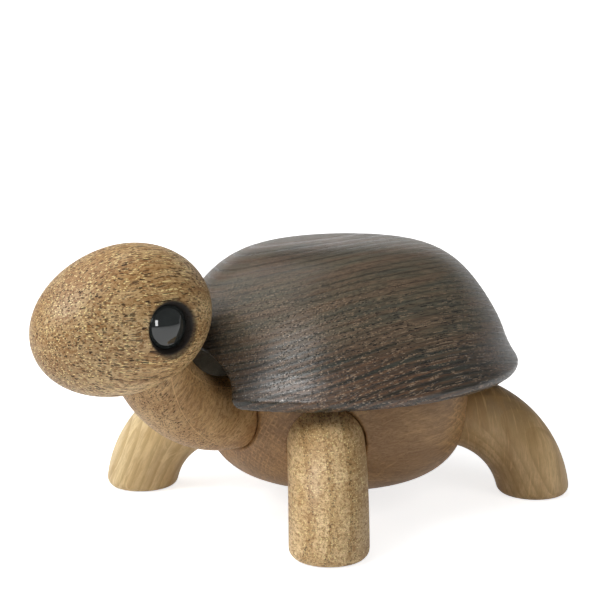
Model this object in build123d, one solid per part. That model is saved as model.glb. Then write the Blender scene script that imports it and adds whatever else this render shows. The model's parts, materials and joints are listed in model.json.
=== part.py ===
from build123d import *
from math import cos, radians, sin, sqrt
import os

# A wooden turtle: a shell on a turned belly, four turning legs, a turning neck and a turning head.
# Millimetres and degrees. The floor is Z = 0, forward is -Y and the turtle's left is +X.
# Every piece is made about the belly's upright axis, and the last step centres the turtle.

# Fits and cuts
cut_overrun = 6.0  # how far a cutter passes beyond what it cuts
turning_gap = 0.06  # radial, round a dowel that turns in its bore
glue_gap = 0.04  # radial, round a piece that is glued in its bore
bore_end_gap = 0.5  # between the end of a dowel and the end of its bore
seat_gap = 0.2  # between a limb's end face and the seat that it turns on
pocket_gap = 0.3  # round a limb where it enters its pocket

# Pivot dowels and their rubber rings
dowel_radius = 3.0
dowel_in_limb = 8.0  # glued length
dowel_in_seat = 11.0  # turning length
dowel_end_chamfer = 0.5
ring_section_radius = 0.6
ring_below_seat = 6.0  # seat to the middle of the ring
ring_bore_gap = 0.03  # radial, between the squeezed ring and the bore
ring_groove_gap = 0.05

# Legs: bars bent downwards and sawn flat at the floor
leg_radius = 8.0
leg_bend_radius = 20.5  # to the bar's middle line
leg_shank = 1.9  # straight length between the seat and the bend
leg_tilt = 14.4  # of the swivel axis below the level
foot_trim = 1.4  # length of the bend that is sawn off at the floor
foot_edge_radius = 2.0
limb_edge_radius = 0.5  # at the end that turns on its seat
leg_seat_depth = 2.2  # from the belly's wall, on the level
leg_line_offset = 4.35  # leg lines start this far ahead of and behind the belly's axis
front_leg_heading = 51.4  # from straight ahead
rear_leg_heading = 45.5  # from straight behind

# Belly
belly_radius = 29.6
belly_depth = 23.2
belly_fullness = 3.5  # exponent of the outline, where 2 is an ellipse and more is boxier
belly_outline_steps = 6

# Shell
rim_over_leg = 0.7  # between the highest part of a leg and the shell's underside
shell_half_length = 43.8
shell_half_width = 36.4
shell_height = 29.9
shell_setback = 0.6  # of the shell's middle behind the belly's axis
rim_edge_radius = 1.9
rim_flare_angle = 33.0  # of the point where the dome runs into the rim's round edge
dome_shares = ((0.30, 0.990), (0.50, 0.934), (0.65, 0.813), (0.76, 0.645), (0.84, 0.475), (0.90, 0.312))
notch_radius = 14.6  # arched opening for the neck, about the neck's swivel axis
notch_edge_radius = 0.8
shell_dowel_length = 18.0
shell_dowel_places_share = (-0.22, 0.42)  # of the belly's radius, from front to rear

# Neck: a bar bent upwards
neck_radius = 7.8
neck_bend_radius = 22.3
neck_bend_angle = 60.0
neck_least_shank = 1.2  # straight length between the seat and the bend, or more under a long shell
neck_bend_behind_rim = 13.7  # most that the bend starts behind the front of the shell
neck_tip = 7.0  # straight length between the bend and the head's seat
neck_seat_depth = 1.3
neck_below_rim = 4.4  # swivel axis below the shell's underside

# Head: an egg that lies across the neck's upper end
head_radius = 14.7
snout_length = 20.7  # from the widest station forward
nape_length = 17.9  # from the widest station backward
head_ahead = 2.75  # widest station ahead of the neck's end, on the level
head_above = 5.9  # widest station above the neck's end
head_pitch = 12.0  # snout below the level

# Eyes: domed beads in countersunk sockets near the head's widest station
eye_radius = 4.3
eye_dome_rise = 1.9
eye_shank_length = 2.6
eye_sink = 0.1  # top of the dome below the side of the head
eye_recess_radius = 5.25
eye_behind = 0.8  # middle of the eye behind the head's widest station
eye_recess_depth = 0.6  # depth at which the countersink has its full radius

# Heights and lengths that follow from the sizes above
leg_root_height = leg_bend_radius * cos(radians(leg_tilt)) - foot_trim
leg_seat_height = leg_root_height + leg_shank * sin(radians(leg_tilt))
rim_height = leg_seat_height + leg_radius * cos(radians(leg_tilt)) + rim_over_leg
neck_height = rim_height - neck_below_rim
shell_reach = shell_half_length - shell_setback
neck_seat_reach = belly_radius - neck_seat_depth
neck_shank = max(neck_least_shank, shell_reach - neck_bend_behind_rim - neck_seat_reach)
bore_radius = dowel_radius + turning_gap
ring_radius = bore_radius - ring_bore_gap - ring_section_radius

FROM_BASE = (Align.CENTER, Align.CENTER, Align.MIN)
FROM_TOP = (Align.CENTER, Align.CENTER, Align.MAX)


def limb_seat(heading, line_start, wall_depth, tilt, height):
    """Plane of a limb's end face: Z along the swivel axis outwards, Y up, X to the side.

    The limb's line starts line_start ahead of the belly's axis and crosses the belly's wall.
    """
    sideways = sin(radians(heading))
    ahead = cos(radians(heading))
    to_wall = sqrt(belly_radius**2 - (line_start * sideways) ** 2) - line_start * ahead
    reach = to_wall - wall_depth
    place = (reach * sideways, -line_start - reach * ahead, height)
    axis = (sideways * cos(radians(tilt)), -ahead * cos(radians(tilt)), -sin(radians(tilt)))
    return Plane(origin=place, x_dir=(ahead, sideways, 0), z_dir=axis)


def leg_seats():
    """Seat plane of each leg, by its name."""
    lines = {
        "front": (front_leg_heading, leg_line_offset),
        "rear": (180 - rear_leg_heading, -leg_line_offset),
    }
    seats = {}
    for end, (heading, start) in lines.items():
        for side, sign in (("left", 1), ("right", -1)):
            seats[f"{end}_{side}"] = limb_seat(sign * heading, start, leg_seat_depth, leg_tilt, leg_seat_height)
    return seats


def neck_seat():
    """Seat plane of the neck, turned over so that its Y points down and the bar bends upwards."""
    level = limb_seat(0, 0, neck_seat_depth, 0, neck_height)
    return Plane(origin=level.origin, x_dir=-level.x_dir, z_dir=level.z_dir)


def head_seat():
    """Plane of the neck's upper end, with Z along the head's swivel axis."""
    bend = radians(neck_bend_angle)
    run = neck_shank + neck_bend_radius * sin(bend) + neck_tip * cos(bend)
    rise = neck_bend_radius * (1 - cos(bend)) + neck_tip * sin(bend)
    place = neck_seat().origin + Vector(0, -run, rise)
    return Plane(origin=place, x_dir=(1, 0, 0), z_dir=(0, -cos(bend), sin(bend)))


def head_place():
    """Plane at the head's widest station, with X along the snout and Y to the turtle's left."""
    pitch = radians(head_pitch)
    place = head_seat().origin + Vector(0, -head_ahead, head_above)
    return Plane(origin=place, x_dir=(0, -cos(pitch), -sin(pitch)), z_dir=(0, -sin(pitch), cos(pitch)))


def bent_bar(radius, shank, bend_radius, bend_angle):
    """Round bar from the origin along Z, then bent towards -Y."""
    straight = Cylinder(radius, shank, align=FROM_BASE)
    bend_axis = Axis((0, -bend_radius, shank), (1, 0, 0))
    return straight + revolve(Pos(0, 0, shank) * Circle(radius), bend_axis, bend_angle)


def limb_bore():
    """Bore for the glued end of a pivot dowel, upwards from the seat plane."""
    return Pos(0, 0, -cut_overrun) * Cylinder(
        dowel_radius + glue_gap, cut_overrun + dowel_in_limb + bore_end_gap, align=FROM_BASE
    )


def seat_cutter(limb_radius):
    """Pocket round a limb's end and the bore that its dowel turns in, about the seat plane."""
    pocket = Pos(0, 0, -seat_gap) * Cylinder(limb_radius + pocket_gap, 2 * limb_radius, align=FROM_BASE)
    depth = dowel_in_seat + bore_end_gap
    return pocket + Pos(0, 0, -depth) * Cylinder(bore_radius, depth, align=FROM_BASE)


def pivot_dowel():
    """Turned dowel along Z with a groove for its ring."""
    length = dowel_in_seat + dowel_in_limb
    dowel = Pos(0, 0, -dowel_in_seat) * Cylinder(dowel_radius, length, align=FROM_BASE)
    dowel = chamfer(dowel.edges().filter_by(GeomType.CIRCLE), dowel_end_chamfer)
    width = 2 * (ring_section_radius + ring_groove_gap)
    floor_radius = ring_radius - ring_section_radius - ring_groove_gap
    groove = Cylinder(dowel_radius + cut_overrun, width) - Cylinder(floor_radius, width)
    return dowel - Pos(0, 0, -ring_below_seat) * groove


def rubber_ring():
    """Ring in its groove, drawn as the bore squeezes it."""
    return Pos(0, 0, -ring_below_seat) * Torus(ring_radius, ring_section_radius)


def leg(seat):
    """Leg on its seat, sawn flat at the floor, with a rounded sole edge."""
    bar = bent_bar(leg_radius, leg_shank, leg_bend_radius, 90 - leg_tilt)
    bar = fillet(bar.edges().group_by(Axis.Z)[0], limb_edge_radius)
    placed = seat * (bar - limb_bore())
    span = 2 * (leg_shank + leg_bend_radius + leg_radius)
    under_floor = Pos(seat.origin.X, seat.origin.Y, 0) * Box(span, span, cut_overrun, align=FROM_TOP)
    placed = placed - under_floor
    return fillet(placed.edges().group_by(Axis.Z)[0], foot_edge_radius)


def neck():
    """Neck with a bore at each end."""
    bar = bent_bar(neck_radius, neck_shank, neck_bend_radius, neck_bend_angle)
    placed = neck_seat() * (fillet(bar.edges().group_by(Axis.Z)[0], limb_edge_radius) - limb_bore())
    upper_end = head_seat()
    placed = placed + upper_end * Cylinder(neck_radius, neck_tip, align=FROM_TOP)
    placed = fillet(placed.edges().sort_by(Axis(upper_end.origin, upper_end.z_dir))[-1], limb_edge_radius)
    return placed - upper_end * Rot(180, 0, 0) * limb_bore()


def belly():
    """Turned bowl with a pocket and a bore for each limb, and bores for the shell dowels."""
    power = 2 / belly_fullness
    outline = []
    for step in range(belly_outline_steps + 1):
        turn = radians(90 * step / belly_outline_steps)
        outline.append((belly_radius * abs(cos(turn)) ** power, 0, rim_height - belly_depth * sin(turn) ** power))
    outline[-1] = (0, 0, rim_height - belly_depth)
    wall = Spline(*outline, tangents=((0, 0, -1), (-1, 0, 0)))
    middle = Line(wall @ 1, (0, 0, rim_height))
    top = Line((0, 0, rim_height), wall @ 0)
    bowl = revolve(make_face([wall, middle, top]), Axis.Z)
    for seat in leg_seats().values():
        bowl = bowl - seat * seat_cutter(leg_radius)
    return bowl - neck_seat() * seat_cutter(neck_radius) - shell_dowel_cutters()


def shell_dowel_spots():
    """Middle of each locating dowel, on the joint between belly and shell."""
    return [Pos(0, share * belly_radius, rim_height) for share in shell_dowel_places_share]


def shell_dowel_cutters():
    """Bores for both halves of the locating dowels."""
    bore = Cylinder(dowel_radius + glue_gap, shell_dowel_length + 2 * bore_end_gap)
    return [spot * bore for spot in shell_dowel_spots()]


def shell_dowels():
    """Locating dowels between belly and shell."""
    dowel = Cylinder(dowel_radius, shell_dowel_length)
    dowel = chamfer(dowel.edges().filter_by(GeomType.CIRCLE), dowel_end_chamfer)
    return Compound([spot * dowel for spot in shell_dowel_spots()])


def shell():
    """Oval dome with a round rim, notched at the front for the neck."""
    rim_middle = shell_half_width - rim_edge_radius
    dome_base = rim_height + rim_edge_radius
    dome_rise = shell_height - rim_edge_radius
    flare = radians(rim_flare_angle)
    flare_end = (rim_middle + rim_edge_radius * cos(flare), 0, dome_base + rim_edge_radius * sin(flare))
    crown = (0, 0, rim_height + shell_height)
    outline = [(out * shell_half_width, 0, dome_base + up * dome_rise) for out, up in dome_shares]
    dome = Spline(crown, *outline, flare_end, tangents=((1, 0, 0), (sin(flare), 0, -cos(flare))))
    edge = ThreePointArc(flare_end, (shell_half_width, 0, dome_base), (rim_middle, 0, rim_height))
    under = Line(edge @ 1, (0, 0, rim_height))
    middle = Line((0, 0, rim_height), crown)
    round_dome = revolve(make_face([dome, edge, under, middle]), Axis.Z)
    stretch = shell_half_length / shell_half_width
    seat = neck_seat().origin
    opening = Plane(origin=(0, (seat.Y + seat_gap - shell_setback) / stretch, seat.Z), z_dir=(0, -1, 0))
    round_dome = round_dome - opening * Cylinder(notch_radius, shell_half_width, align=FROM_BASE)
    notch = round_dome.faces().filter_by(GeomType.CYLINDER)
    round_dome = fillet(notch.edges().filter_by(GeomType.BSPLINE), notch_edge_radius)
    oval_dome = Pos(0, shell_setback, 0) * scale(round_dome, by=(1, stretch, 1))
    return oval_dome - shell_dowel_cutters()


def eye_places():
    """Plane of each eye, on the head's side, with Z out of the head."""
    places = {}
    for side, sign in (("left", 1), ("right", -1)):
        spot = head_place().origin + Vector(sign * head_radius, eye_behind, 0)
        places[side] = Plane(origin=spot, z_dir=(sign, 0, 0))
    return places


def eye():
    """Domed bead with a short shank, its dome towards Z."""
    dome_radius = (eye_radius**2 + eye_dome_rise**2) / (2 * eye_dome_rise)
    length = eye_dome_rise + eye_shank_length
    bead = Pos(0, 0, -eye_sink) * Cylinder(eye_radius, length, align=FROM_TOP)
    return bead & Pos(0, 0, -eye_sink) * Sphere(dome_radius, align=FROM_TOP)


def eye_socket():
    """Socket for the bead and the countersink round it."""
    edge_depth = eye_sink + eye_dome_rise
    back = -edge_depth - eye_shank_length - glue_gap
    socket = Pos(0, 0, back) * Cylinder(eye_radius + glue_gap, -back + cut_overrun, align=FROM_BASE)
    sink = Cone(eye_radius + glue_gap, eye_recess_radius, edge_depth - eye_recess_depth, align=FROM_TOP)
    mouth = Cylinder(eye_recess_radius, eye_recess_depth + cut_overrun, align=FROM_BASE)
    return socket + Pos(0, 0, -eye_recess_depth) * (sink + mouth)


def head():
    """Egg with a pocket for the neck, the bore of its dowel and the eye sockets."""
    snout = EllipticalCenterArc((0, 0), snout_length, head_radius, 0, arc_size=90)
    nape = EllipticalCenterArc((0, 0), nape_length, head_radius, 90, arc_size=90)
    axis = Line((-nape_length, 0), (snout_length, 0))
    egg = revolve(make_face([snout, nape, axis]), Axis.X)
    placed = head_place() * egg - head_seat() * Rot(180, 0, 0) * seat_cutter(neck_radius)
    for place in eye_places().values():
        placed = placed - place * eye_socket()
    return placed


def turtle():
    """Every piece of the turtle, by its name."""
    pieces = {"shell": shell(), "belly": belly(), "shell_dowels": shell_dowels()}
    pieces["neck"] = neck()
    pieces["head"] = head()
    for side, place in eye_places().items():
        pieces[f"{side}_eye"] = place * eye()
    pivots = dict(leg_seats())
    for name, seat in leg_seats().items():
        pieces[f"{name}_leg"] = leg(seat)
    pivots["neck"] = neck_seat()
    pivots["head"] = head_seat() * Rot(180, 0, 0)
    for name, seat in pivots.items():
        pieces[f"{name}_pivot"] = seat * pivot_dowel()
        pieces[f"{name}_ring"] = seat * rubber_ring()
    return pieces


pieces = turtle()
middle = Compound(list(pieces.values())).bounding_box().center()
centring = Pos(-middle.X, -middle.Y, 0)

os.makedirs("parts", exist_ok=True)
for name, piece in pieces.items():
    export_step(centring * piece, f"parts/{name}.step")
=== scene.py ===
"""Turtle figurine: finishes, eye beads, soft light and the photograph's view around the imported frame."""
import json
import math

import bmesh
import bpy
import numpy as np
from mathutils import Matrix, Vector


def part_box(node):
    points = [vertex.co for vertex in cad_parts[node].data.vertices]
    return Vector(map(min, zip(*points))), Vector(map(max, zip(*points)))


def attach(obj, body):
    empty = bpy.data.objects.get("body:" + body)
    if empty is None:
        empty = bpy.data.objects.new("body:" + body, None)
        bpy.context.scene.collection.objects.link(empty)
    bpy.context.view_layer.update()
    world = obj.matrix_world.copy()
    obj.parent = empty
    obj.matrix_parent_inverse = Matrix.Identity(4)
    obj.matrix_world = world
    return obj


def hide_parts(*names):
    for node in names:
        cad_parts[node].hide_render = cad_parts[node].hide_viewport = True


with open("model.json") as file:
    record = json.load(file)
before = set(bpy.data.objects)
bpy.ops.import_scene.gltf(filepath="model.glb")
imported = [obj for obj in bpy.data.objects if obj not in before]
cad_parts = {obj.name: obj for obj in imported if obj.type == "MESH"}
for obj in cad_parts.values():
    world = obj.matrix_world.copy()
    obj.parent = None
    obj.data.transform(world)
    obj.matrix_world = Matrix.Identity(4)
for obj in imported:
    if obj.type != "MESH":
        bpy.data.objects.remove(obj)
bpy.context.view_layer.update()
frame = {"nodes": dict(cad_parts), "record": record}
scene = bpy.context.scene
MM = 0.001


def srgb(red, green, blue):
    """A screen colour, 0 to 255, as the linear colour that shaders take."""
    def linear(level):
        share = level / 255
        return share / 12.92 if share <= 0.04045 else ((share + 0.055) / 1.055) ** 2.4
    return (linear(red), linear(green), linear(blue), 1.0)


# Camera: the photograph's view, fitted to the object's outline in a square frame

IMAGE_PIXELS = 600
SENSOR = 36.0
FOCAL_PIXELS = 1499.67
VIEW_AZIMUTH = math.radians(49.89)
VIEW_ELEVATION = math.radians(9.763)
VIEW_DISTANCE = 0.3358
VIEW_TARGET = Vector((-0.00818, 0.01204, 0.04297))
CLIP_START = 0.01
CLIP_END = 20


def view_axes(azimuth, elevation):
    """The camera's right, up and back directions."""
    back = Vector((math.sin(azimuth) * math.cos(elevation),
                   -math.cos(azimuth) * math.cos(elevation), math.sin(elevation)))
    right = Vector((math.cos(azimuth), math.sin(azimuth), 0))
    return right, back.cross(right), back


def add_camera():
    right, up, back = view_axes(VIEW_AZIMUTH, VIEW_ELEVATION)
    data = bpy.data.cameras.new("photo_view")
    data.sensor_width = SENSOR
    data.lens = SENSOR * FOCAL_PIXELS / IMAGE_PIXELS
    data.clip_start = CLIP_START
    data.clip_end = CLIP_END
    camera = bpy.data.objects.new("photo_view", data)
    turn = Matrix((right, up, back)).transposed().to_4x4()
    camera.matrix_world = Matrix.Translation(VIEW_TARGET + back * VIEW_DISTANCE) @ turn
    scene.collection.objects.link(camera)
    scene.camera = camera


# Node helpers

def new_material(name):
    material = bpy.data.materials.new(name)
    material.use_nodes = True
    material.node_tree.nodes.clear()
    return material, material.node_tree


def node(tree, kind, inputs=None, **settings):
    """Adds a node; inputs maps socket names or numbers to sockets to link or values to set."""
    made = tree.nodes.new(kind)
    for name, value in settings.items():
        setattr(made, name, value)
    for name, value in (inputs or {}).items():
        if isinstance(value, bpy.types.NodeSocket):
            tree.links.new(value, made.inputs[name])
        else:
            made.inputs[name].default_value = value
    return made


def maths(tree, operation, first, second=0.0, third=0.0, clamp=False):
    made = node(tree, "ShaderNodeMath", {0: first, 1: second, 2: third},
                operation=operation, use_clamp=clamp)
    return made.outputs[0]


def mix(tree, share, first, second, blend="MIX"):
    """First and second colours mixed by share."""
    made = node(tree, "ShaderNodeMix", data_type="RGBA", blend_type=blend)
    for name, value in ((0, share), (6, first), (7, second)):
        if isinstance(value, bpy.types.NodeSocket):
            tree.links.new(value, made.inputs[name])
        else:
            made.inputs[name].default_value = value
    return made.outputs[2]


def stretch(tree, vector, x, y, z, shift=(0, 0, 0)):
    """The vector with each axis scaled, then shifted."""
    made = node(tree, "ShaderNodeVectorMath", {0: vector, 1: (x, y, z), 2: shift}, operation="MULTIPLY_ADD")
    return made.outputs[0]


def smooth_step(tree, value, low, high, start=0.0, end=1.0):
    made = node(tree, "ShaderNodeMapRange", {0: value, 1: low, 2: high, 3: start, 4: end},
                interpolation_type="SMOOTHSTEP")
    return made.outputs[0]


def noise(tree, vector, scale=1.0, detail=3.0, rough=0.55):
    made = node(tree, "ShaderNodeTexNoise", {
        "Vector": vector, "Scale": scale, "Detail": detail, "Roughness": rough})
    return made.outputs[0]


def distance_along(tree, vector, direction):
    made = node(tree, "ShaderNodeVectorMath", {0: vector, 1: direction}, operation="DOT_PRODUCT")
    return made.outputs["Value"]


def vector_length(tree, vector):
    return node(tree, "ShaderNodeVectorMath", {0: vector}, operation="LENGTH").outputs["Value"]


def surface(tree, shader):
    out = node(tree, "ShaderNodeOutputMaterial")
    tree.links.new(shader, out.inputs["Surface"])


# Wood: each piece carries its place in the plank, in millimetres, as two mesh attributes

GRAIN_ATTRIBUTE = "grain"
RING_ATTRIBUTE = "ring"


class Plank:
    """The log that a piece is cut from: the grain's direction, a point on the pith and the ring width."""

    def __init__(self, grain, pith, ring_width, wobble):
        self.along = Vector(grain).normalized()
        level = Vector((0, 0, 1)) if abs(self.along.z) < 0.9 else Vector((1, 0, 0))
        self.across = self.along.cross(level).normalized()
        self.up = self.across.cross(self.along).normalized()
        self.pith = np.array(pith, float)
        self.ring_width = ring_width
        self.wobble = wobble

    def places(self, points):
        """Two vectors for each point in metres: across, up and along the plank, and rings, arc and along.

        Lengths are in mm.
        """
        offset = (points - self.pith) / MM
        across = offset @ np.array(self.across)
        along = offset @ np.array(self.along)
        up = offset @ np.array(self.up)
        radius = np.hypot(across, up)
        bend = (np.sin(along / 17 + across / 11) + 0.6 * np.sin(along / 9 - up / 7 + 1.3)
                + 0.35 * np.sin(along / 5 + across / 4 + up / 6))
        rings = (radius + self.wobble * bend) / self.ring_width
        arc = np.arctan2(across, up) * radius.mean()
        return np.stack((across, up, along), 1), np.stack((rings, arc, along), 1)


def vertex_places(mesh):
    flat = np.zeros(len(mesh.vertices) * 3)
    mesh.vertices.foreach_get("co", flat)
    return flat.reshape(-1, 3)


def store(mesh, name, vectors):
    attribute = mesh.attributes.new(name, "FLOAT_VECTOR", "POINT")
    attribute.data.foreach_set("vector", vectors.astype(np.float32).ravel())


def fine_copy(node_name, piece_name, grid, eases):
    """A dense, even mesh on the surface of a CAD node, with its edges eased a little."""
    source = frame["nodes"][node_name]
    piece = bpy.data.objects.new(piece_name, source.data.copy())
    scene.collection.objects.link(piece)
    remesh = piece.modifiers.new("even", "REMESH")
    remesh.mode = "VOXEL"
    remesh.voxel_size = grid
    wrap = piece.modifiers.new("wrap", "SHRINKWRAP")
    wrap.target = source
    ease = piece.modifiers.new("ease", "SMOOTH")
    ease.factor = 0.5
    ease.iterations = eases
    bpy.context.view_layer.update()
    ready = piece.evaluated_get(bpy.context.evaluated_depsgraph_get())
    piece.data = bpy.data.meshes.new_from_object(ready)
    piece.modifiers.clear()
    piece.data.materials.clear()
    piece.data.shade_smooth()
    return piece


RELIEF_MIDDLE = 0.28
RELIEF_SPREAD = 0.16


def wooden(node_name, body, plank, material, grid, relief=0.0, eases=2):
    """A wooden piece in the place of a CAD node: dense mesh, plank places, ring relief and finish."""
    piece = fine_copy(node_name, node_name + "_wood", grid, eases)
    mesh = piece.data
    grain, rings = plank.places(vertex_places(mesh))
    store(mesh, GRAIN_ATTRIBUTE, grain)
    store(mesh, RING_ATTRIBUTE, rings)
    if relief:
        share = rings[:, 0] % 1.0
        dip = np.exp(-((share - RELIEF_MIDDLE) / RELIEF_SPREAD) ** 2)
        normals = np.zeros(len(mesh.vertices) * 3)
        mesh.vertex_normals.foreach_get("vector", normals)
        moved = vertex_places(mesh) - normals.reshape(-1, 3) * (dip * relief)[:, None]
        mesh.vertices.foreach_set("co", moved.ravel())
        mesh.update()
    mesh.materials.append(material)
    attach(piece, body)
    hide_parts(node_name)
    return piece


def plank_vectors(tree):
    """The piece's place in its plank, its rings and the share of a ring's width, for shaders."""
    grain = node(tree, "ShaderNodeAttribute", attribute_name=GRAIN_ATTRIBUTE).outputs["Vector"]
    ring = node(tree, "ShaderNodeAttribute", attribute_name=RING_ATTRIBUTE).outputs["Vector"]
    rings = node(tree, "ShaderNodeSeparateXYZ", {0: ring}).outputs
    return grain, ring, maths(tree, "FRACT", rings[0])


def rest_place(tree):
    """The place on the object at rest, in millimetres."""
    return stretch(tree, node(tree, "ShaderNodeTexCoord").outputs["Object"], 1000, 1000, 1000)


def meander(tree, grain, reach):
    """The place in the plank, moved sideways a little as it runs along the grain."""
    sway = node(tree, "ShaderNodeTexNoise", {
        "Vector": stretch(tree, grain, 0.15, 0.15, 0.3), "Scale": 1.0, "Detail": 1.0})
    moved = node(tree, "ShaderNodeVectorMath", {0: sway.outputs["Color"], 1: (reach, reach, 0), 2: grain},
                 operation="MULTIPLY_ADD")
    return moved.outputs[0]


def vessels(tree, place, size, least, reach, length, shift, edge=0.07):
    """Tubes along the grain, as a mask: dots on end grain and dashes on side grain.

    Size is their spacing and length their usual run, in mm; cells whose random number is over least
    hold one, of a radius up to reach times the spacing.
    """
    cell = node(tree, "ShaderNodeTexVoronoi", {
        "Vector": stretch(tree, place, 1 / size, 1 / size, 0, shift), "Scale": 1.0},
        feature="F1", voronoi_dimensions="2D")
    pick = node(tree, "ShaderNodeSeparateColor", {0: cell.outputs["Color"]}).outputs[1]
    runs = noise(tree, stretch(tree, place, 0.9 / size, 0.9 / size, 1 / length, shift), 1.0, 1.0)
    widest = smooth_step(tree, pick, least, least + 0.25, 0.0, reach)
    radius = maths(tree, "MULTIPLY", widest, smooth_step(tree, runs, 0.4, 0.52))
    inside = maths(tree, "SUBTRACT", cell.outputs["Distance"], radius)
    filled = smooth_step(tree, inside, edge, -edge)
    return maths(tree, "MULTIPLY", filled, smooth_step(tree, radius, 0.02, 0.1))


def crossed_lines(tree, ring):
    """Thin lines along the rings and, across them, along the rays: a weave on end grain."""
    sway = node(tree, "ShaderNodeTexNoise", {
        "Vector": stretch(tree, ring, 0.7, 0.7, 0.1), "Scale": 1.0, "Detail": 2.0})
    bent = node(tree, "ShaderNodeVectorMath", {0: sway.outputs["Color"], 1: (0.45, 0.6, 0), 2: ring},
                operation="MULTIPLY_ADD")
    parts = node(tree, "ShaderNodeSeparateXYZ", {0: bent.outputs[0]}).outputs
    lines = []
    for part, rate, thinness in ((parts[0], 1.8, 0.28), (parts[1], 1.1, 0.24)):
        count = maths(tree, "MULTIPLY", part, rate)
        off = maths(tree, "ABSOLUTE", maths(tree, "SUBTRACT", maths(tree, "FRACT", count), 0.5))
        lines.append(smooth_step(tree, off, thinness, 0.04))
    broken = noise(tree, stretch(tree, ring, 1.6, 1.6, 0.15, (5.5, 2.2, 0)), 1.0, 2.0)
    drawn = maths(tree, "MAXIMUM", lines[0], lines[1])
    return maths(tree, "MULTIPLY", drawn, smooth_step(tree, broken, 0.35, 0.6))


def tinted(colour, red, green, blue):
    return (min(colour[0] * red, 1), min(colour[1] * green, 1), min(colour[2] * blue, 1), 1)


BURN_AND_SHADOW_OAK = srgb(30, 23, 17)
SOCKET_INSET = 0.3
WEAVE_MIDDLE = 6.0
WEAVE_START = 11
WEAVE_FULL = 20


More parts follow.
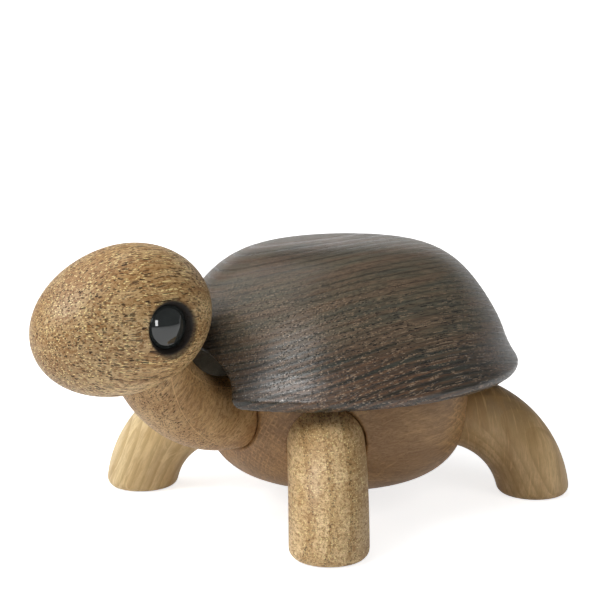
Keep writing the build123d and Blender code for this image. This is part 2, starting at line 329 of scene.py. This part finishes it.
def oak(name, light, dark, mottle=0.5, gold=0.5, pores=0.5, pore_length=2.2, pore_size=1.0, dashes=0.0,
        streak=0.35, ring_show=0.25, rays=0.35, figure=0.2, weave=0.0, columns=0.25,
        painted_shade=None, vein=None, sockets=()):
    """Smoked oak: tone drift, rings, fibres, rays, gold flecks and dark open pores.

    Mottle, gold, pores, dashes, streak, ring_show, rays, figure and weave are the strengths of dark
    patches, flecks, pores, long pores, fibres, rings, rays, wide stripes and the weave of end grain.
    Columns is how far the pores keep to the early wood; pore_length is in mm.
    Painted shade deepens the tone along a direction, between two distances in mm, up to a share.
    A vein is a pale line where a plane, given by its normal and its distance in mm, meets the surface;
    there are few pores beyond it.
    Sockets are darkened by a burn or by painted shadow: each is a point on an axis along X, a radius and
    the edge's width, in mm, and a share.
    """
    material, tree = new_material(name)
    grain, ring, ring_share = plank_vectors(tree)
    swayed = meander(tree, grain, 0.9)
    drift = noise(tree, stretch(tree, grain, 0.13, 0.13, 0.03), 1.0, 4.0)
    colour = mix(tree, smooth_step(tree, drift, 0.36, 0.64), dark, light)
    # painted shade: the tone deepens along a direction
    if painted_shade:
        direction, near, far, share = painted_shade
        reach = distance_along(tree, rest_place(tree), direction)
        deep = smooth_step(tree, reach, near, far, 0.0, share)
        colour = mix(tree, deep, colour, tinted(dark, 0.5, 0.46, 0.42))
    early = smooth_step(tree, ring_share, 0.55, 0.05)
    colour = mix(tree, maths(tree, "MULTIPLY", early, ring_show), colour, tinted(dark, 0.8, 0.76, 0.7))
    fibre = noise(tree, stretch(tree, swayed, 3.2, 3.2, 0.22), 1.0, 3.0, 0.65)
    streaks = smooth_step(tree, fibre, 0.4, 0.62, 0.0, streak)
    colour = mix(tree, streaks, colour, tinted(dark, 0.72, 0.68, 0.62))
    stripe = noise(tree, stretch(tree, swayed, 0.4, 0.4, 0.03, (1.4, 4.6, 0.3)), 1.0, 2.0)
    stripes = smooth_step(tree, stripe, 0.5, 0.64, 0.0, figure)
    colour = mix(tree, stripes, colour, tinted(dark, 0.72, 0.64, 0.54))
    ray_mask = noise(tree, stretch(tree, ring, 0.5, 2.6, 0.1), 1.0, 2.0)
    ray_share = smooth_step(tree, ray_mask, 0.56, 0.68, 0.0, rays)
    colour = mix(tree, ray_share, colour, tinted(light, 1.15, 1.12, 1.05))
    if weave:
        lengthways = node(tree, "ShaderNodeSeparateXYZ", {0: rest_place(tree)}).outputs[1]
        endways = maths(tree, "ABSOLUTE", maths(tree, "SUBTRACT", lengthways, WEAVE_MIDDLE))
        woven = maths(tree, "MULTIPLY", crossed_lines(tree, ring),
                      smooth_step(tree, endways, WEAVE_START, WEAVE_FULL, 0.0, weave))
        colour = mix(tree, woven, colour, tinted(light, 1.2, 1.15, 1.1))
    patch = noise(tree, stretch(tree, swayed, 1.7, 1.7, 0.8, (3.1, 8.2, 5.3)), 1.0, 3.0, 0.8)
    patches = smooth_step(tree, patch, 0.47, 0.6, 0.0, mottle)
    colour = mix(tree, patches, colour, tinted(dark, 0.54, 0.42, 0.31))
    flecks = vessels(tree, swayed, 0.36, 0.5, 0.34, 0.45, (7.3, 1.9, 4.1))
    colour = mix(tree, maths(tree, "MULTIPLY", flecks, gold), colour, tinted(light, 1.15, 1.2, 1.05))
    early_pores = maths(tree, "MULTIPLY_ADD", early, columns, 1 - columns)
    fine_pores = vessels(tree, swayed, 0.38 * pore_size, 0.42, 0.37, 0.6 * pore_length, (2.7, 5.1, 9.2))
    open_pores = vessels(tree, swayed, 0.56 * pore_size, 0.58, 0.36, pore_length, (0.4, 3.3, 1.7))
    all_pores = maths(tree, "MAXIMUM", maths(tree, "MULTIPLY", fine_pores, 0.9), open_pores)
    pore = maths(tree, "MULTIPLY", all_pores, early_pores)
    pore = maths(tree, "MULTIPLY", pore, pores, clamp=True)
    if vein:
        normal, distance = vein
        across = distance_along(tree, rest_place(tree), normal)
        kept = smooth_step(tree, across, distance + 2.5, distance - 1.0, 0.15, 1.0)
        pore = maths(tree, "MULTIPLY", pore, kept)
    if dashes:
        long_pores = vessels(tree, swayed, 0.9, 0.55, 0.18, 2.5 * pore_length, (6.6, 2.4, 3.8), 0.05)
        pore = maths(tree, "MAXIMUM", pore, maths(tree, "MULTIPLY", long_pores, dashes))
    colour = mix(tree, pore, colour, tinted(dark, 0.07, 0.05, 0.045))
    if vein:
        gap = maths(tree, "ABSOLUTE", maths(tree, "SUBTRACT", across, distance))
        vein_line = smooth_step(tree, gap, 0.07, 0.01, 0.0, 0.5)
        colour = mix(tree, vein_line, colour, tinted(light, 1.25, 1.25, 1.2))
    burn_and_shadow = None
    # each socket darkens the colour: a burnt countersink, or painted shadow behind and below it
    for middle, radius, edge, share in sockets:
        flat = stretch(tree, rest_place(tree), 0, 1, 1, (0, -middle[1], -middle[2]))
        reach = vector_length(tree, flat)
        burn_and_shadow = smooth_step(tree, reach, radius + edge, radius - SOCKET_INSET, 0.0, share)
        colour = mix(tree, burn_and_shadow, colour, BURN_AND_SHADOW_OAK)
    height = maths(tree, "SUBTRACT", maths(tree, "MULTIPLY", fibre, 0.25), pore)
    bump = node(tree, "ShaderNodeBump", {"Strength": 0.5, "Distance": 0.1 * MM, "Height": height})
    rough = maths(tree, "MULTIPLY_ADD", pore, 0.3, 0.44)
    if burn_and_shadow:
        rough = maths(tree, "MULTIPLY_ADD", burn_and_shadow, 0.3, rough)
    shader = node(tree, "ShaderNodeBsdfPrincipled", {
        "Base Color": colour, "Roughness": rough, "Normal": bump.outputs[0], "Specular IOR Level": 0.5})
    surface(tree, shader.outputs[0])
    return material


ASH_DARK = srgb(98, 88, 74)
ASH_LIGHT = srgb(118, 107, 88)
ASH_LINE = srgb(44, 46, 43)
ASH_LOW = srgb(48, 46, 41)
ASH_WARM = srgb(132, 104, 84)
ASH_COOL = srgb(88, 94, 85)
ASH_COPPER = srgb(140, 100, 70)
ASH_FIBRE = srgb(52, 46, 41)
ASH_SPECK = srgb(176, 148, 118)
ASH_PORE = srgb(22, 20, 18)
ASH_PAINTED_SHADOW = srgb(30, 29, 25)
ASH_NOTCH = srgb(80, 75, 62)

# Where a part of the shell's finish starts and where it is full, in mm: by height, then along the shell
LOW_ZONE = (44, 33)
SPECK_ZONE = (54, 46)
GLOSS_ZONE = (40, 34)
COPPER_ZONE = (32, 4)
NOTCH_ZONE = (0, -10)
PAINTED_SHADOW_ZONE = (-10, -19)
PAINTED_SHADOW_WIDTH = 12


def stained_ash(name, notch_height, notch_radius):
    """Dark stained open-pored ash: slate late wood, copper early wood, specks, and a dull dark notch.

    The notch is the round about the axis along Y at the given height, and painted shadow of the head
    deepens around it;
    sizes are in mm. The low part of the shell is darker and glossier.
    """
    material, tree = new_material(name)
    grain, ring, ring_share = plank_vectors(tree)
    swayed = meander(tree, grain, 0.6)
    place = rest_place(tree)
    _, lengthways, height = node(tree, "ShaderNodeSeparateXYZ", {0: place}).outputs
    low = smooth_step(tree, height, *LOW_ZONE)
    drift = noise(tree, stretch(tree, grain, 0.08, 0.08, 0.03), 1.0, 3.0)
    colour = mix(tree, smooth_step(tree, drift, 0.35, 0.65), ASH_DARK, ASH_LIGHT)
    late = maths(tree, "MULTIPLY", smooth_step(tree, ring_share, 0.06, 0.26),
                 smooth_step(tree, ring_share, 0.52, 0.34))
    thinning = noise(tree, stretch(tree, ring, 0.6, 0.12, 0.1, (2.9, 6.2, 1.1)), 1.0, 2.0)
    fade = smooth_step(tree, thinning, 0.34, 0.6, 0.45, 1.0)
    lines = maths(tree, "MULTIPLY", maths(tree, "MULTIPLY", late, fade),
                  maths(tree, "MULTIPLY_ADD", low, 0.4, 0.55))
    colour = mix(tree, lines, colour, ASH_LINE)
    colour = mix(tree, maths(tree, "MULTIPLY", low, 0.68), colour, ASH_LOW)
    warm = noise(tree, stretch(tree, ring, 0.9, 0.06, 0.05), 1.0, 2.0)
    colour = mix(tree, smooth_step(tree, warm, 0.48, 0.62, 0.0, 0.4), colour, ASH_WARM)
    colour = mix(tree, smooth_step(tree, warm, 0.46, 0.34, 0.0, 0.4), colour, ASH_COOL)
    early = maths(tree, "MULTIPLY", smooth_step(tree, ring_share, 0.52, 0.68),
                  smooth_step(tree, ring_share, 1.0, 0.9))
    copper = maths(tree, "MULTIPLY", maths(tree, "MULTIPLY", early, low),
                   smooth_step(tree, lengthways, *COPPER_ZONE, 0.2, 1.0))
    colour = mix(tree, maths(tree, "MULTIPLY", copper, 0.45), colour, ASH_COPPER)
    fibre = noise(tree, stretch(tree, swayed, 4.0, 4.0, 0.35), 1.0, 3.0, 0.6)
    colour = mix(tree, smooth_step(tree, fibre, 0.42, 0.65, 0.0, 0.5), colour, ASH_FIBRE)
    dotted = smooth_step(tree, height, *SPECK_ZONE, 0.25, 1.0)
    pale = maths(tree, "MULTIPLY", vessels(tree, swayed, 0.32, 0.5, 0.38, 0.4, (4.4, 6.1, 2.2)), dotted)
    pale_share = maths(tree, "MULTIPLY", pale, maths(tree, "MULTIPLY_ADD", copper, 0.4, 0.55))
    colour = mix(tree, pale_share, colour, ASH_SPECK)
    pore = maths(tree, "MULTIPLY", vessels(tree, swayed, 0.34, 0.5, 0.37, 0.55, (1.2, 0.7, 8.8)), dotted)
    colour = mix(tree, maths(tree, "MULTIPLY", pore, 0.9), colour, ASH_PORE)
    flat = stretch(tree, place, 1, 0, 1, (0, 0, -notch_height))
    reach = vector_length(tree, flat)
    notch = maths(tree, "MULTIPLY", smooth_step(tree, reach, notch_radius + 0.7, notch_radius + 0.1),
                  smooth_step(tree, lengthways, *NOTCH_ZONE))
    # painted shadow: darker round the notch, where the head shades the shell
    shadow_paint = smooth_step(tree, reach, notch_radius + PAINTED_SHADOW_WIDTH, notch_radius, 0.0, 0.75)
    painted_shadow = maths(tree, "MULTIPLY", shadow_paint, smooth_step(tree, lengthways, *PAINTED_SHADOW_ZONE))
    colour = mix(tree, painted_shadow, colour, ASH_PAINTED_SHADOW)
    colour = mix(tree, notch, colour, ASH_NOTCH)
    sunk = maths(tree, "SUBTRACT", pore, maths(tree, "MULTIPLY", pale, 0.4))
    relief = maths(tree, "SUBTRACT", maths(tree, "MULTIPLY", fibre, 0.3), sunk)
    bump = node(tree, "ShaderNodeBump", {"Strength": 0.6, "Distance": 0.1 * MM, "Height": relief})
    rough = maths(tree, "MULTIPLY_ADD", pore, 0.2, maths(tree, "MULTIPLY_ADD", late, -0.08, 0.31))
    rough = maths(tree, "MAXIMUM", rough, maths(tree, "MULTIPLY", notch, 0.95))
    gloss = maths(tree, "MULTIPLY", smooth_step(tree, height, *GLOSS_ZONE, 0.42, 0.8),
                  maths(tree, "MULTIPLY_ADD", pale, 0.9, 0.8))
    shader = node(tree, "ShaderNodeBsdfPrincipled", {
        "Base Color": colour, "Roughness": rough, "Normal": bump.outputs[0], "Specular IOR Level": gloss})
    surface(tree, shader.outputs[0])
    return material


def plain_beech(name):
    """Pale beech for the hidden dowels: fine fibres and short flecks."""
    material, tree = new_material(name)
    place = rest_place(tree)
    tone = noise(tree, stretch(tree, place, 0.6, 2.5, 2.5), 1.0, 4.0)
    colour = mix(tree, tone, srgb(196, 158, 116), srgb(222, 190, 150))
    shader = node(tree, "ShaderNodeBsdfPrincipled", {"Base Color": colour, "Roughness": 0.6})
    surface(tree, shader.outputs[0])
    return material


def dull_rubber(name):
    """Black rubber with a faint bloom for the hidden rings."""
    material, tree = new_material(name)
    place = rest_place(tree)
    bloom = noise(tree, place, 1.5, 4.0)
    colour = mix(tree, bloom, srgb(24, 24, 25), srgb(44, 44, 46))
    shader = node(tree, "ShaderNodeBsdfPrincipled", {"Base Color": colour, "Roughness": 0.7})
    surface(tree, shader.outputs[0])
    return material


def black_bead(name):
    """Polished black bead: almost black with a faint cool cloud."""
    material, tree = new_material(name)
    place = rest_place(tree)
    cloud = noise(tree, place, 0.5, 3.0)
    colour = mix(tree, cloud, srgb(29, 32, 31), srgb(47, 51, 50))
    shader = node(tree, "ShaderNodeBsdfPrincipled", {
        "Base Color": colour, "Roughness": 0.04, "IOR": 1.75})
    surface(tree, shader.outputs[0])
    return material


# Pieces

def lathe(name, profile, sides):
    """A turned piece about the X axis, from (along, radius) pairs that start and end on the axis."""
    shape = bmesh.new()
    rows = []
    for along, radius in profile:
        if radius == 0:
            rows.append([shape.verts.new((along, 0, 0))])
            continue
        rows.append([shape.verts.new((along, radius * math.cos(2 * math.pi * i / sides),
                                      radius * math.sin(2 * math.pi * i / sides))) for i in range(sides)])
    for first, second in zip(rows, rows[1:]):
        for i in range(sides):
            ring = (first[i % len(first)], first[(i + 1) % len(first)],
                    second[(i + 1) % len(second)], second[i % len(second)])
            corners = list(dict.fromkeys(ring))
            shape.faces.new(corners)
    bmesh.ops.recalc_face_normals(shape, faces=shape.faces)
    mesh = bpy.data.meshes.new(name)
    shape.to_mesh(mesh)
    shape.free()
    mesh.shade_smooth()
    piece = bpy.data.objects.new(name, mesh)
    scene.collection.objects.link(piece)
    return piece


EYE_SIDES = 96
EYE_DOME_STEPS = 24
EYE_DOME_RISE = 1.9 * MM
EYE_EDGE_ROUND = 0.12 * MM


def eye_bead(node_name, side, material):
    """A domed bead with an eased edge and a straight shank, in the place of the CAD bead."""
    low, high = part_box(node_name)
    radius = (high.y - low.y) / 2
    length = high.x - low.x
    ball = (radius ** 2 + EYE_DOME_RISE ** 2) / (2 * EYE_DOME_RISE)
    spread = math.asin((radius - EYE_EDGE_ROUND) / ball)
    dome = [(length - ball + ball * math.cos(spread * i / EYE_DOME_STEPS),
             ball * math.sin(spread * i / EYE_DOME_STEPS)) for i in range(EYE_DOME_STEPS + 1)]
    edge = dome[-1][0]
    shank = [(edge - EYE_EDGE_ROUND * 0.4, radius - EYE_EDGE_ROUND * 0.3), (edge - EYE_EDGE_ROUND, radius),
             (EYE_EDGE_ROUND, radius), (0, radius - EYE_EDGE_ROUND), (0, 0)]
    piece = lathe(node_name + "_bead", dome + shank, EYE_SIDES)
    middle = (low + high) / 2
    root = low.x if side > 0 else high.x
    turn = Matrix.Identity(4) if side > 0 else Matrix.Rotation(math.pi, 4, "Z")
    piece.data.transform(Matrix.Translation((root, middle.y, middle.z)) @ turn)
    piece.data.materials.append(material)
    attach(piece, "head")
    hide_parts(node_name)
    return piece


LIMB_GRID = 0.45 * MM
HEAD_GRID = 0.35 * MM
BELLY_GRID = 0.45 * MM
SHELL_GRID = 0.4 * MM
NOTCH_RADIUS = 14.6
EYE_RECESS_RADIUS = 5.25
# painted shadow in the eyes' countersinks, behind and below the beads
EYE_SHADOW_SHIFT = (0, 0.8, -0.7)
EYE_SHADOW_EDGE = 1.0
EYE_SHADOW_SHARE = 0.8
EYE_BURN_EDGE = 0.5
NECK_VEIN_NORMAL = (0.983, 0.181, -0.006)
NECK_VEIN_DISTANCE = 1.16
LEG_HEADINGS = {"front_left": 51.4, "front_right": -51.4, "rear_left": 134.5, "rear_right": -134.5}
LEG_GRAIN_TILT = {"front_left": 0, "front_right": 115}
NEAR_PITH_ASIDE = 46.4 * MM
FAR_PITH_DEPTH = 20 * MM
REAR_PITH_DEPTH = 18 * MM
REAR_FACE_AZIMUTH = 80
REAR_GRAIN_LEAN = 0.3
# painted shade: the rear legs darker under the shell, the near leg darker towards its right edge
REAR_SHADE_HEIGHTS = (12, 24)
REAR_SHADE_SHARE = 0.95
NEAR_SHADE_START = 0.5
NEAR_SHADE_FULL = 9
NEAR_SHADE_SHARE = 0.5
# painted shade on the head, darker towards the snout
HEAD_SHADE = ((0, -1, 0), 40, 58, 0.5)
SHELL_RELIEF = 0.03 * MM


def leg_aside(name):
    """Level direction across a leg's heading."""
    heading = math.radians(LEG_HEADINGS[name])
    return Vector((math.cos(heading), math.sin(heading), 0))


def leg_shade(name):
    """Where a leg has painted shade: the near leg towards its right edge, the rear legs towards the shell.
    """
    if name.startswith("rear"):
        return (0, 0, 1), *REAR_SHADE_HEIGHTS, REAR_SHADE_SHARE
    if name == "front_left":
        low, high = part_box(name + "_leg")
        middle = leg_aside(name).dot((low + high) / 2) / MM
        return (tuple(leg_aside(name)), middle + NEAR_SHADE_START, middle + NEAR_SHADE_FULL,
                NEAR_SHADE_SHARE)
    return None


def leg_plank(name):
    """Stock of a leg. A front leg's grain lies in its own plane, turned up from its heading.

    The near leg's pith lies far to one side, so that its rings stand upright on the face.
    A rear leg's grain leans away from its outer face, so that the rings there draw arches.
    """
    heading = math.radians(LEG_HEADINGS[name])
    outward = Vector((math.sin(heading), -math.cos(heading), 0))
    low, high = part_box(name + "_leg")
    if name.startswith("front"):
        tilt = math.radians(LEG_GRAIN_TILT[name])
        grain = outward * math.cos(tilt) + Vector((0, 0, math.sin(tilt)))
        if name == "front_left":
            pith = (low + high) / 2 - leg_aside(name) * NEAR_PITH_ASIDE
            return Plank(grain, pith, ring_width=4.2, wobble=0.3)
        return Plank(grain, (low + high) / 2 - outward * FAR_PITH_DEPTH, ring_width=2.4, wobble=0.9)
    facing = math.radians(REAR_FACE_AZIMUTH) * (1 if name.endswith("left") else -1)
    face = Vector((math.sin(facing), -math.cos(facing), 0))
    grain = Vector((0, 0, 1)) - face * REAR_GRAIN_LEAN
    return Plank(grain, (low + high) / 2 - face * REAR_PITH_DEPTH, ring_width=1.5, wobble=0.5)


def neck_height():
    """Height of the neck's swivel axis, in mm."""
    joints = frame["record"]["behaviour"]["joints"]
    return next(joint for joint in joints if joint["name"] == "neck_turn")["pos_m"][2] / MM


def eye_sockets():
    """The eyes' burnt countersinks, with a soft painted shadow behind and below them, for the head's
    finish.
    """
    low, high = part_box("left_eye")
    middle = (low + high) / 2 / MM
    shadow_paint = middle + Vector(EYE_SHADOW_SHIFT)
    painted_shadow = (tuple(shadow_paint), EYE_RECESS_RADIUS, EYE_SHADOW_EDGE, EYE_SHADOW_SHARE)
    return painted_shadow, (tuple(middle), EYE_RECESS_RADIUS, EYE_BURN_EDGE, 1.0)


def dress():
    """Dresses every node and returns the shell and the eye beads, which have lamps of their own."""
    shell_plank = Plank(grain=(0, -1, -0.03), pith=(-0.0155, 0.016, 0.120), ring_width=1.35, wobble=0.25)
    shell_ash = stained_ash("shell_ash", neck_height(), NOTCH_RADIUS)
    shell = wooden("shell", "body", shell_plank, shell_ash, SHELL_GRID, SHELL_RELIEF)
    belly_plank = Plank(grain=(0, 1, 0.03), pith=(-0.02, 0.0, -0.03), ring_width=1.8, wobble=0.3)
    belly_oak = oak("belly_oak", srgb(196, 156, 108), srgb(160, 122, 80), mottle=0.25, gold=0.0, pores=0.2,
                    pore_length=6.0, streak=0.55, ring_show=0.35, weave=0.8)
    wooden("belly", "body", belly_plank, belly_oak, BELLY_GRID)
    head_plank = Plank(grain=(0, -0.998, 0.07), pith=(-0.05, 0, 0.01), ring_width=2.0, wobble=0.4)
    head_oak = oak("head_oak", srgb(246, 216, 164), srgb(198, 156, 102), mottle=0.9, gold=1.0, pores=1.0,
                   dashes=0.75, figure=0.45, painted_shade=HEAD_SHADE, sockets=eye_sockets())
    wooden("head", "head", head_plank, head_oak, HEAD_GRID)
    neck_plank = Plank(grain=(0, 0.64, 0.77), pith=(0.08, -0.016, 0.026), ring_width=2.0, wobble=0.4)
    neck_oak = oak("neck_oak", srgb(226, 190, 139), srgb(194, 154, 105), mottle=0.6, gold=0.4, pores=0.9,
                   pore_size=0.85, vein=(NECK_VEIN_NORMAL, NECK_VEIN_DISTANCE))
    wooden("neck", "neck", neck_plank, neck_oak, LIMB_GRID)
    tones = {"front_left": (srgb(250, 221, 172), srgb(214, 177, 124)),
             "front_right": (srgb(242, 218, 170), srgb(218, 188, 134)),
             "rear_left": (srgb(240, 206, 153), srgb(208, 172, 120)),
             "rear_right": (srgb(228, 192, 140), srgb(194, 157, 106))}
    for name, (light, dark) in tones.items():
        near = name == "front_left"
        dotted = 1.0 if near else 0.1
        leg_oak = oak(name + "_oak", light, dark, mottle=0.8 * dotted, gold=0.7 * dotted,
                      pores=0.65 * dotted, pore_length=3.0, pore_size=1.15,
                      ring_show=0.6 if name.startswith("rear") else 0.75,
                      figure=0.2 if near else 0.5, columns=0.8 if near else 0.25, painted_shade=leg_shade(name))
        wooden(name + "_leg", name, leg_plank(name), leg_oak, LIMB_GRID)
    bead = black_bead("eye_black")
    beads = [eye_bead("left_eye", 1, bead), eye_bead("right_eye", -1, bead)]
    beech = plain_beech("dowel_beech")
    rubber = dull_rubber("ring_rubber")
    for name, piece in frame["nodes"].items():
        if name.endswith(("_pivot", "_dowels", "_ring")):
            piece.data.materials.clear()
            piece.data.materials.append(rubber if name.endswith("_ring") else beech)
    return shell, beads


# Stage and light

STAGE_WIDTH = 8.0
STAGE_FRONT = 4.0
STAGE_BACK = 0.9
STAGE_BEND = 0.25
STAGE_TOP = 0.5
STAGE_STEPS = 24
GLOW_NEAR = 0.2
GLOW_FAR = 0.8
GLOW_LEAST = 0.78
MIRRORED_GLOW = 0.3
PAPER_GRAIN = 900.0


def stage_finish():
    """White paper that reads as white in the view and in reflections, and keeps the shadow."""
    material, tree = new_material("white_paper")
    place = node(tree, "ShaderNodeTexCoord").outputs["Object"]
    colour = mix(tree, noise(tree, place, PAPER_GRAIN, 2.0), (0.86, 0.86, 0.86, 1), (0.90, 0.90, 0.90, 1))
    paper = node(tree, "ShaderNodeBsdfDiffuse", {"Color": colour})
    path = node(tree, "ShaderNodeLightPath").outputs
    mirrored = maths(tree, "MAXIMUM", path["Is Glossy Ray"], path["Is Transmission Ray"])
    spread = smooth_step(tree, vector_length(tree, place), GLOW_NEAR, GLOW_FAR, GLOW_LEAST, 1.0)
    view_glow = maths(tree, "MULTIPLY", path["Is Camera Ray"], spread)
    seen = maths(tree, "MULTIPLY_ADD", mirrored, MIRRORED_GLOW, view_glow)
    glow = node(tree, "ShaderNodeEmission", {"Color": (1, 1, 1, 1), "Strength": seen})
    both = node(tree, "ShaderNodeAddShader", {0: paper.outputs[0], 1: glow.outputs[0]})
    surface(tree, both.outputs[0])
    return material


def add_stage():
    """A paper sweep: a wide floor under the object, bending up to a low wall behind it."""
    right, _, back = view_axes(VIEW_AZIMUTH, 0)
    line = [(-STAGE_FRONT, 0.0)]
    for i in range(STAGE_STEPS + 1):
        angle = math.pi / 2 * i / STAGE_STEPS
        line.append((STAGE_BACK + STAGE_BEND * math.sin(angle), STAGE_BEND - STAGE_BEND * math.cos(angle)))
    line.append((STAGE_BACK + STAGE_BEND, STAGE_TOP))
    shape = bmesh.new()
    rows = []
    for depth, height in line:
        middle = back * -depth + Vector((0, 0, height))
        rows.append([shape.verts.new(middle + right * side * STAGE_WIDTH / 2) for side in (-1, 1)])
    for first, second in zip(rows, rows[1:]):
        shape.faces.new((first[0], first[1], second[1], second[0]))
    mesh = bpy.data.meshes.new("paper_sweep")
    shape.to_mesh(mesh)
    shape.free()
    mesh.shade_smooth()
    mesh.materials.append(stage_finish())
    sweep = bpy.data.objects.new("paper_sweep", mesh)
    scene.collection.objects.link(sweep)


LIGHT_TARGET = Vector((0, 0, 0.035))


def softbox(name, azimuth, elevation, distance, width, height, power):
    """A rectangular soft light that faces the object, from an azimuth and elevation in degrees.

    Distance, width and height are in metres and power is in watts.
    """
    data = bpy.data.lights.new(name, "AREA")
    data.shape = "RECTANGLE"
    data.size = width
    data.size_y = height
    data.energy = power
    _, _, back = view_axes(math.radians(azimuth), math.radians(elevation))
    lamp = bpy.data.objects.new(name, data)
    lamp.location = LIGHT_TARGET + back * distance
    lamp.rotation_mode = "QUATERNION"
    lamp.rotation_quaternion = back.to_track_quat("Z", "Y")
    scene.collection.objects.link(lamp)
    return lamp


def link_light(lamp, pieces, state="INCLUDE"):
    """Keeps a lamp's light to the given pieces, or off them where they are excluded."""
    receivers = bpy.data.collections.new(lamp.name + "_receivers")
    for piece in pieces:
        receivers.objects.link(piece)
    for member in receivers.collection_objects:
        member.light_linking.link_state = state
    lamp.light_linking.receiver_collection = receivers


ROOM_LIGHT = 0.06
MIRRORED_ROOM = 0.08
SEEN_ROOM = 0.94


def add_light(shell, beads):
    """A dim room that reads as white in the view, and the lamps.

    A wide top light is for everything, a key and a fill are for all but the shell, a sheen is for the shell
    and a glint on each side is for the eyes.
    """
    world = bpy.data.worlds.new("room")
    world.use_nodes = True
    tree = world.node_tree
    path = node(tree, "ShaderNodeLightPath").outputs
    mirrored = maths(tree, "MAXIMUM", path["Is Glossy Ray"], path["Is Transmission Ray"])
    seen = maths(tree, "MULTIPLY_ADD", mirrored, MIRRORED_ROOM,
                 maths(tree, "MULTIPLY", path["Is Camera Ray"], SEEN_ROOM))
    tree.links.new(maths(tree, "ADD", seen, ROOM_LIGHT), tree.nodes["Background"].inputs["Strength"])
    tree.nodes["Background"].inputs["Color"].default_value = (1, 1, 1, 1)
    scene.world = world
    softbox("top_box", azimuth=-50, elevation=58, distance=1.2, width=1.5, height=1.5, power=9.4)
    key = softbox("key_box", azimuth=-10, elevation=40, distance=0.9, width=0.5, height=0.4, power=4.4)
    link_light(key, [shell], "EXCLUDE")
    fill = softbox("fill_box", azimuth=88, elevation=38, distance=0.9, width=0.6, height=0.6, power=1.3)
    fill.visible_glossy = False
    link_light(fill, [shell], "EXCLUDE")
    sheen = softbox("sheen_box", azimuth=37, elevation=40, distance=0.9, width=0.46, height=0.3, power=3.3)
    link_light(sheen, [shell])
    for side in (-1, 1):
        name = "left_glint" if side > 0 else "right_glint"
        glint = softbox(name, azimuth=54 * side, elevation=15, distance=0.45,
                        width=0.07, height=0.16, power=0.32)
        link_light(glint, beads)
    scene.view_settings.view_transform = "Standard"


add_camera()
dressed_shell, eye_beads = dress()
add_stage()
add_light(dressed_shell, eye_beads)
